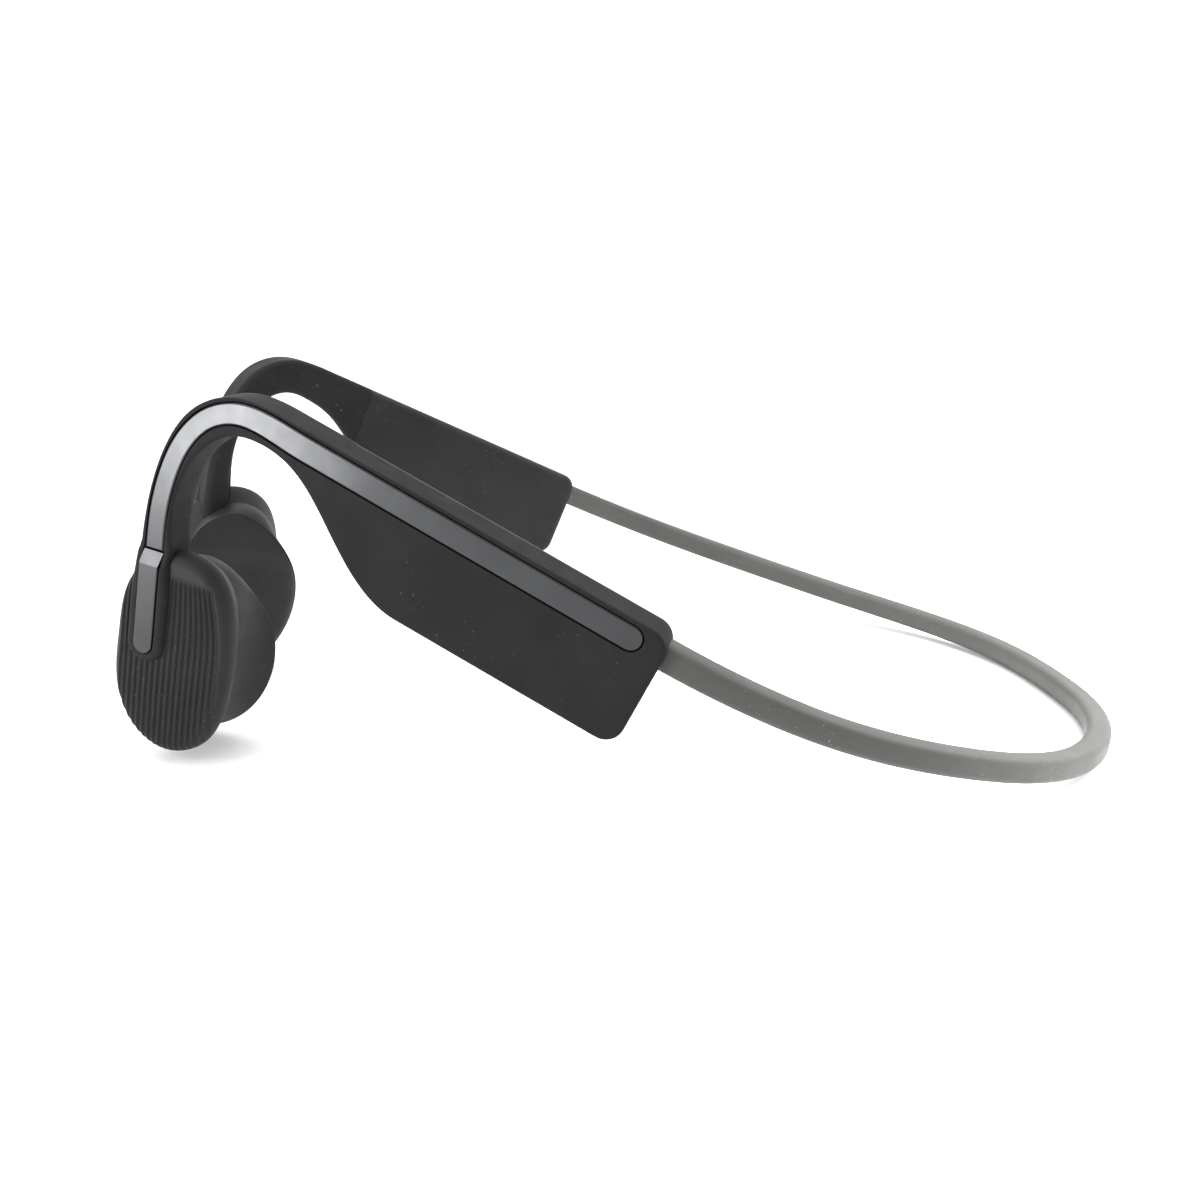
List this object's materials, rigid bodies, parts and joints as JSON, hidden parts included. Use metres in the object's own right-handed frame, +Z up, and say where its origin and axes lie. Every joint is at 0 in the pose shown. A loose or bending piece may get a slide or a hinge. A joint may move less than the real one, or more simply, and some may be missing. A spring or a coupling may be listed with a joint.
{
  "type": "bone conduction headphones",
  "caption": "Open-ear bone conduction headphones: slim pods with over-ear hooks and tilted transducers, joined by a springy silicone-covered rear neckband.",
  "frame": {"origin": "on the surface it stands on, under the centre of its bounding box", "axes": "+X from the transducers to the rear of the neckband, -Y the wearer's left, +Z up"},
  "size_m": [0.1525, 0.1, 0.0505],
  "materials": {
    "soft_touch_housing": "soft-touch matt coating",
    "inner_cover": "fine matt moulding",
    "satin_strip": "satin silver-grey",
    "band_silicone": "warm grey silicone",
    "titanium": "drawn titanium wire",
    "pad_silicone": "skin-soft silicone",
    "steel": "zinc-plated steel",
    "magnet": "nickel-plated magnet",
    "copper": "enamelled copper",
    "circuit_board": "solder mask",
    "battery_foil": "pouch foil",
    "port_steel": "drawn shell",
    "key_plastic": "fine matt moulding",
    "light_guide": "clear guide",
    "lead_insulation": "thin insulation"
  },
  "bodies": {
    "neckband": {"neckband_sleeve_rear": "band_silicone", "neckband_core_wire": "titanium", "neckband_leads": "lead_insulation"},
    "left_side": {"left_contact_pad": "pad_silicone", "left_driver_magnet": "magnet", "left_driver_top_plate": "steel", "left_driver_yoke": "steel", "left_earhook_housing": "soft_touch_housing", "left_hook_core_wire": "titanium", "left_pod_inner_cover": "inner_cover", "left_transducer_cup": "soft_touch_housing", "left_transducer_shell": "soft_touch_housing", "left_trim_strip": "satin_strip", "left_vibration_plate": "steel", "left_voice_coil": "copper", "battery_cell": "battery_foil", "protection_board": "circuit_board", "multifunction_switch": "circuit_board", "neckband_sleeve_left": "band_silicone"},
    "right_side": {"right_contact_pad": "pad_silicone", "right_driver_magnet": "magnet", "right_driver_top_plate": "steel", "right_driver_yoke": "steel", "right_earhook_housing": "soft_touch_housing", "right_hook_core_wire": "titanium", "right_pod_inner_cover": "inner_cover", "right_transducer_cup": "soft_touch_housing", "right_transducer_shell": "soft_touch_housing", "right_trim_strip": "satin_strip", "right_vibration_plate": "steel", "right_voice_coil": "copper", "main_board": "circuit_board", "charging_port": "port_steel", "volume_switch_board": "circuit_board", "status_light_guide": "light_guide", "microphones": "circuit_board", "neckband_sleeve_right": "band_silicone"},
    "multifunction_button": {"multifunction_button": "satin_strip"},
    "volume_up_button": {"volume_up_button": "key_plastic"},
    "volume_down_button": {"volume_down_button": "key_plastic"}
  },
  "joints": [
    {"name": "left_flex", "type": "hinge", "parent": "neckband", "child": "left_side", "pos_m": [0.0475, -0.04, 0.006], "axis": [0, 0, 1], "range_deg": [-1.5, 26], "stiffness_Nm_per_rad": 0.35, "deforming": ["neckband_sleeve_left", "neckband_core_wire", "neckband_leads"]},
    {"name": "right_flex", "type": "hinge", "parent": "neckband", "child": "right_side", "pos_m": [0.0475, 0.04, 0.006], "axis": [0, 0, -1], "range_deg": [-1.5, 26], "stiffness_Nm_per_rad": 0.35, "deforming": ["neckband_sleeve_right", "neckband_core_wire", "neckband_leads"]},
    {"name": "multifunction_press", "type": "slide", "parent": "left_side", "child": "multifunction_button", "axis": [0.4019, 0.9157, 0], "range_m": [0, 0.0004], "stiffness_N_per_m": 1500},
    {"name": "volume_up_press", "type": "slide", "parent": "right_side", "child": "volume_up_button", "axis": [0.3666, 0.1609, 0.9164], "range_m": [0, 0.0004], "stiffness_N_per_m": 1500},
    {"name": "volume_down_press", "type": "slide", "parent": "right_side", "child": "volume_down_button", "axis": [0.3666, 0.1609, 0.9164], "range_m": [0, 0.0004], "stiffness_N_per_m": 1500}
  ]
}
